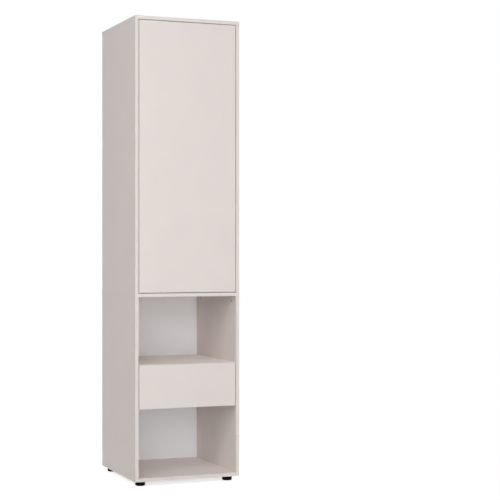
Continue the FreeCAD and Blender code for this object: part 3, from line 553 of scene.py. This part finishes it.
def solids_of(node):
    """Corners of each separate solid in a CAD part, in a fixed order."""
    copy = bmesh.new()
    copy.from_mesh(nodes[node].data)
    bmesh.ops.remove_doubles(copy, verts=copy.verts, dist=WELD)
    waiting = set(copy.verts)
    solids = []
    while waiting:
        reached = [waiting.pop()]
        for corner in reached:
            around_it = {edge.other_vert(corner) for edge in corner.link_edges} & waiting
            waiting -= around_it
            reached.extend(around_it)
        solids.append([corner.co.copy() for corner in reached])
    copy.free()
    return sorted(solids, key=lambda corners: tuple(sum(corners, Vector()) / len(corners)))


def measured(corners):
    """Middle of the crown, inward direction, and radius and depth of the head, shank radius and length."""
    low = Vector([min(corner[axis] for corner in corners) for axis in range(3)])
    high = Vector([max(corner[axis] for corner in corners) for axis in range(3)])
    span = high - low
    along = max(range(3), key=lambda axis: span[axis])
    centre = (low + high) / 2

    def radius(corner):
        return math.hypot(*(corner[axis] - centre[axis] for axis in range(3) if axis != along))

    rims = []
    for end in (low, high):
        rim = [corner for corner in corners if abs(corner[along] - end[along]) < SAME_PLANE]
        rims.append(max(radius(corner) for corner in rim))
    crown = centre.copy()
    inward = Vector()
    crown[along] = low[along] if rims[0] >= rims[1] else high[along]
    inward[along] = 1 if rims[0] >= rims[1] else -1
    head, shank = max(rims), min(rims)
    depths = [abs(corner[along] - crown[along]) for corner in corners if radius(corner) > WIDER * shank]
    sizes = (head, max(depths, default=0.0), shank, span[along])
    return crown, inward, tuple(round(size, 6) for size in sizes)


example = measured(solids_of("hinge_plate_screws")[0])
print("a hinge plate screw, in mm:", [round(size / MM, 2) for size in example[2]])

# %% [markdown]
# ### Outline and recess
# A screw is round, so half of its section says all about its form: a pan head is a low dome, a flat head is
# a disc with a soft rim over a cone, and a set screw has no head. A driver's recess is not round. It is a
# cross or a hexagon that narrows towards its floor, so it is a cutter of its own.

# %% Outline of a fastener and cutter for its recess
ABOVE_CROWN = 0.5 * MM
DOME_ANGLES = range(0, 91, 15)
# Shares of the head's, the shank's or the recess's own size
DOME_SHARE = 0.65
FLAT_RIM = 0.06
FLAT_BAND = 0.3
HEADLESS_RIM = 0.15
CROSS_WING = 0.27
FLOOR_SHARE = {"cross": 0.6, "hexagon": 0.95}


def half_section(form, head, depth, shank, length):
    """Radius and depth of a fastener's outline, from the middle of the crown to the tip."""
    if form == "pan":
        angles = [math.radians(degrees) for degrees in DOME_ANGLES]
        crown = [(head * math.sin(angle), DOME_SHARE * depth * (1 - math.cos(angle))) for angle in angles]
        return crown + [(head, depth), (shank, depth), (shank, length - shank), (0, length)]
    if form == "flat":
        soft = FLAT_RIM * head
        crown = [(0, 0), (head - soft, 0), (head, soft), (head, max(FLAT_BAND * depth, 2 * soft))]
        return crown + [(shank, depth), (shank, length - shank), (0, length)]
    soft = HEADLESS_RIM * shank
    crown = [(0, 0), (shank - soft, 0), (shank, soft)]
    return crown + [(shank, length - soft), (shank - soft, length), (0, length)]


def recess(driver, reach, depth):
    """Cutter for a driver's recess, its mouth a little above the crown."""
    if driver == "hexagon":
        turns = [math.tau * step / 6 for step in range(6)]
        outline = [(reach * math.cos(turn), reach * math.sin(turn)) for turn in turns]
    else:
        wing = CROSS_WING * reach
        quarter = [(reach, -wing), (reach, wing), (wing, wing)]
        outline = []
        for x_turn, y_turn in ((1, 0), (0, 1), (-1, 0), (0, -1)):
            outline += [(x * x_turn - y * y_turn, x * y_turn + y * x_turn) for x, y in quarter]
    share = FLOOR_SHARE[driver]
    cutter = bmesh.new()
    mouth = [cutter.verts.new((x, y, -ABOVE_CROWN)) for x, y in outline]
    bed = [cutter.verts.new((x * share, y * share, depth)) for x, y in outline]
    cutter.faces.new(reversed(mouth))
    cutter.faces.new(bed)
    for index in range(len(outline)):
        after = (index + 1) % len(outline)
        cutter.faces.new((mouth[index], mouth[after], bed[after], bed[index]))
    return cutter


print("fastener forms: pan, flat, headless; recesses:", list(FLOOR_SHARE))

# %% [markdown]
# ### One turned fastener
# A real screw's head is pressed round, and its recess is stamped in. The model follows that: the outline is
# spun about the shank's axis, and a Boolean takes the recess out. A Screw modifier could spin it too, but
# spinning it in the mesh lets the seam be merged before the Boolean.

# %% Turn one fastener
TURNING_STEPS = 32
SHARP_EDGE = math.radians(32)
# Shares of the head's radius and depth, and of the shank's radius where there is no head
RECESS_REACH = 0.58
RECESS_DEPTH = 0.85
HEADLESS_DEPTH = 0.8


def as_object(name, work):
    """Object from a bmesh, which is then let go."""
    mesh = bpy.data.meshes.new(name)
    work.to_mesh(mesh)
    work.free()
    thing = bpy.data.objects.new(name, mesh)
    bpy.context.collection.objects.link(thing)
    return thing


def evaluated_mesh(thing):
    """Plain mesh of an object with its modifiers carried out."""
    ready = thing.evaluated_get(bpy.context.evaluated_depsgraph_get())
    return bpy.data.meshes.new_from_object(ready)


def shade_round(mesh):
    """Smooth shading that stops at sharp edges."""
    mesh.polygons.foreach_set("use_smooth", [True] * len(mesh.polygons))
    mesh.set_sharp_from_angle(angle=SHARP_EDGE)


def turned_fastener(form, driver, sizes):
    """Model of one fastener with its crown at the origin and its shank along Z."""
    head, depth, shank = sizes[:3]
    if depth == 0:
        form = "headless"
    work = bmesh.new()
    outline = [work.verts.new((r, 0, z)) for r, z in half_section(form, *sizes)]
    line = [work.edges.new(pair) for pair in zip(outline, outline[1:])]
    bmesh.ops.spin(
        work, geom=outline + line, axis=(0, 0, 1), cent=(0, 0, 0), angle=math.tau, steps=TURNING_STEPS)
    bmesh.ops.remove_doubles(work, verts=work.verts, dist=WELD)
    bmesh.ops.recalc_face_normals(work, faces=work.faces)
    model = as_object("turned_fastener", work)
    if driver:
        depth_cut = RECESS_DEPTH * max(depth, HEADLESS_DEPTH * shank)
        cutter = as_object("driver_recess", recess(driver, RECESS_REACH * head, depth_cut))
        cut = model.modifiers.new("recess", "BOOLEAN")
        cut.object = cutter
        cut.solver = "EXACT"
        model.data = evaluated_mesh(model)
        model.modifiers.clear()
        bpy.data.objects.remove(cutter)
    shade_round(model.data)
    return model


print("fasteners are turned in", TURNING_STEPS, "steps")

# %% [markdown]
# ### Setting out
# A cabinet has many screws of few sizes. Copies made one by one would do, but a Geometry Nodes tree sets
# any fastener out over any places: each point says which way is inward, and a random turn with a fixed seed
# leaves the recesses as a driver does, no two alike.

# %% Geometry Nodes that set fasteners out
def setting_out_tree():
    """Node tree that puts a fastener at every point, along the point's own direction, at a random turn."""
    tree = bpy.data.node_groups.new("set_out_fasteners", "GeometryNodeTree")
    wanted = {
        "Places": "NodeSocketGeometry", "Fastener": "NodeSocketObject",
        "Finish": "NodeSocketMaterial", "Seed": "NodeSocketInt"}
    keys = {}
    for name, kind in wanted.items():
        keys[name] = tree.interface.new_socket(name, in_out="INPUT", socket_type=kind).identifier
    tree.interface.new_socket("Fasteners", in_out="OUTPUT", socket_type="NodeSocketGeometry")
    given = add_node(tree, "NodeGroupInput").outputs
    inward = add_node(tree, "GeometryNodeInputNamedAttribute", {"Name": "inward"}, data_type="FLOAT_VECTOR")
    aimed = add_node(tree, "FunctionNodeAlignRotationToVector", {"Vector": inward.outputs[0]}, axis="Z")
    turn = add_node(tree, "FunctionNodeRandomValue", {3: math.tau, "Seed": given["Seed"]}, data_type="FLOAT")
    spin = add_node(tree, "FunctionNodeAxisAngleToRotation", {"Axis": (0, 0, 1), "Angle": turn.outputs[1]})
    driven = add_node(
        tree, "FunctionNodeRotateRotation",
        {"Rotation": aimed.outputs[0], "Rotate By": spin.outputs[0]}, rotation_space="LOCAL")
    model = add_node(tree, "GeometryNodeObjectInfo", {"Object": given["Fastener"]})
    set_out = add_node(
        tree, "GeometryNodeInstanceOnPoints",
        {"Points": given["Places"], "Instance": model.outputs["Geometry"], "Rotation": driven.outputs[0]})
    real = add_node(tree, "GeometryNodeRealizeInstances", {0: set_out.outputs[0]})
    dressed = add_node(
        tree, "GeometryNodeSetMaterial", {"Geometry": real.outputs[0], "Material": given["Finish"]})
    add_node(tree, "NodeGroupOutput", {0: dressed.outputs[0]})
    return tree, keys


setting_out, setting_out_keys = setting_out_tree()
print("node tree:", setting_out.name, "inputs:", list(setting_out_keys))

# %% [markdown]
# ### In place of the CAD fasteners
# Each CAD part of screws or nails becomes one finished piece on the same body. A part can hold fasteners of
# several sizes, so each size is turned once and set out over its own places, and the results are joined.

# %% Fasteners in place of the CAD ones
def stand_in(name, mesh, node):
    """Finished piece in place of a CAD part, on the same body and with the same finish slot."""
    piece = bpy.data.objects.new(name, mesh)
    bpy.context.collection.objects.link(piece)
    mesh.materials.clear()
    mesh.materials.append(SLOT_FINISH[slot_of[node]])
    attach(piece, body_of(nodes[node])[0])
    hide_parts(node)


def set_out(node, form, driver, seed):
    """Turned fasteners over every place of a CAD part's fasteners."""
    places = defaultdict(list)
    for corners in solids_of(node):
        crown, inward, sizes = measured(corners)
        places[sizes].append((crown, inward))
    joined = bmesh.new()
    for sizes, spots in places.items():
        model = turned_fastener(form, driver, sizes)
        points = bpy.data.meshes.new("fastener_places")
        points.from_pydata([crown for crown, inward in spots], [], [])
        attribute = points.attributes.new("inward", "FLOAT_VECTOR", "POINT")
        for item, (crown, inward) in zip(attribute.data, spots):
            item.vector = inward
        holder = bpy.data.objects.new("fastener_places", points)
        bpy.context.collection.objects.link(holder)
        modifier = holder.modifiers.new("set_out", "NODES")
        modifier.node_group = setting_out
        modifier[setting_out_keys["Fastener"]] = model
        modifier[setting_out_keys["Finish"]] = SLOT_FINISH[slot_of[node]]
        modifier[setting_out_keys["Seed"]] = seed
        joined.from_mesh(evaluated_mesh(holder))
        bpy.data.objects.remove(holder)
        bpy.data.objects.remove(model)
    mesh = bpy.data.meshes.new(f"{node}_turned")
    joined.to_mesh(mesh)
    joined.free()
    stand_in(f"{node}_turned", mesh, node)
    print(node, "set out:", sum(len(spots) for spots in places.values()), "faces:", len(mesh.polygons))


FASTENERS = (
    ("hinge_cup_screws", "pan", "cross"),
    ("hinge_plate_screws", "pan", "cross"),
    ("hinge_arm_screws", "pan", "cross"),
    ("latch_screws", "pan", "cross"),
    ("rail_cradle_screws", "pan", "cross"),
    ("foot_screws", "pan", "cross"),
    ("base_screws", "flat", "hexagon"),
    ("runner_cabinet_screws", "flat", "cross"),
    ("runner_drawer_screws", "flat", "cross"),
    ("drawer_back_screws", "flat", "cross"),
    ("back_nails", "flat", None),
)
for seed, (node, form, driver) in enumerate(FASTENERS):
    set_out(node, form, driver, seed)

# %% [markdown]
# ## Soft edges on the small fittings
# Stamped, cast and moulded parts have no razor edges: a thin round along each edge catches the light. The
# boards have theirs in the CAD model. For the fittings, a copy of each CAD part is merged and its flat
# faces made whole, and a bevel rounds its edges inwards, so the copy stays inside the part that it stands
# for. A bevel drawn by the shader alone would be missing from the mesh.

# %% Rounded copies of the fittings
FLAT_ANGLE = math.radians(0.3)
BEVEL_STEPS = 2


def softened(node, radius, shortest=0.0):
    """Rounded copy in place of a CAD part; edges under a length stay sharp. Returns its number of faces."""
    source = nodes[node].data
    work = bmesh.new()
    corners = [work.verts.new(corner.co) for corner in source.vertices]
    for face in source.polygons:
        work.faces.new([corners[index] for index in face.vertices])
    bmesh.ops.remove_doubles(work, verts=work.verts, dist=WELD)
    bmesh.ops.dissolve_limit(work, angle_limit=FLAT_ANGLE, verts=work.verts, edges=work.edges)
    rounding = work.edges.layers.float.new("bevel_weight_edge")
    for edge in work.edges:
        sharp = edge.calc_face_angle() > SHARP_EDGE
        edge[rounding] = 1.0 if sharp and edge.calc_length() > shortest else 0.0
    copy = as_object("rounded_copy", work)
    shade_round(copy.data)
    bevel = copy.modifiers.new("soft_edges", "BEVEL")
    bevel.limit_method = "WEIGHT"
    bevel.width = radius
    bevel.segments = BEVEL_STEPS
    bevel.use_clamp_overlap = False
    bevel.loop_slide = False
    copy.modifiers.new("even_shading", "WEIGHTED_NORMAL")
    mesh = evaluated_mesh(copy)
    bpy.data.objects.remove(copy)
    stand_in(f"{node}_softened", mesh, node)
    return len(mesh.polygons)


EDGE_RADII = {
    "hinge_arm_lower": 0.4 * MM,
    "hinge_arm_upper": 0.4 * MM,
    "hinge_plate_lower": 0.4 * MM,
    "hinge_plate_upper": 0.4 * MM,
    "hinge_cup_lower": 0.3 * MM,
    "hinge_cup_upper": 0.3 * MM,
    "rail_cradle_left": 0.5 * MM,
    "rail_cradle_right": 0.5 * MM,
    "latch_body": 0.7 * MM,
    "latch_plunger": 0.5 * MM,
    "latch_tip": 0.5 * MM,
    "cam_locks": 0.25 * MM,
    "drawer_cam_locks": 0.25 * MM,
}
for node, radius in EDGE_RADII.items():
    print(node, "edges rounded to", round(radius / MM, 2), "mm, faces:", softened(node, radius))

# %% [markdown]
# ### Runners
# The runners are folded from thin sheet, with holes for screws and rivets. The edges at their ends and
# round the holes are too short for such a bevel, so only the long edges get it, which are the ones that
# catch the light.

# %% Rounded copies of the runners
SHEET_EDGE = 0.3 * MM
LONG_EDGE = 5 * MM
for node in ("runner_cabinet_left", "runner_cabinet_right", "runner_drawer_left", "runner_drawer_right"):
    print(node, "long edges rounded, faces:", softened(node, SHEET_EDGE, LONG_EDGE))
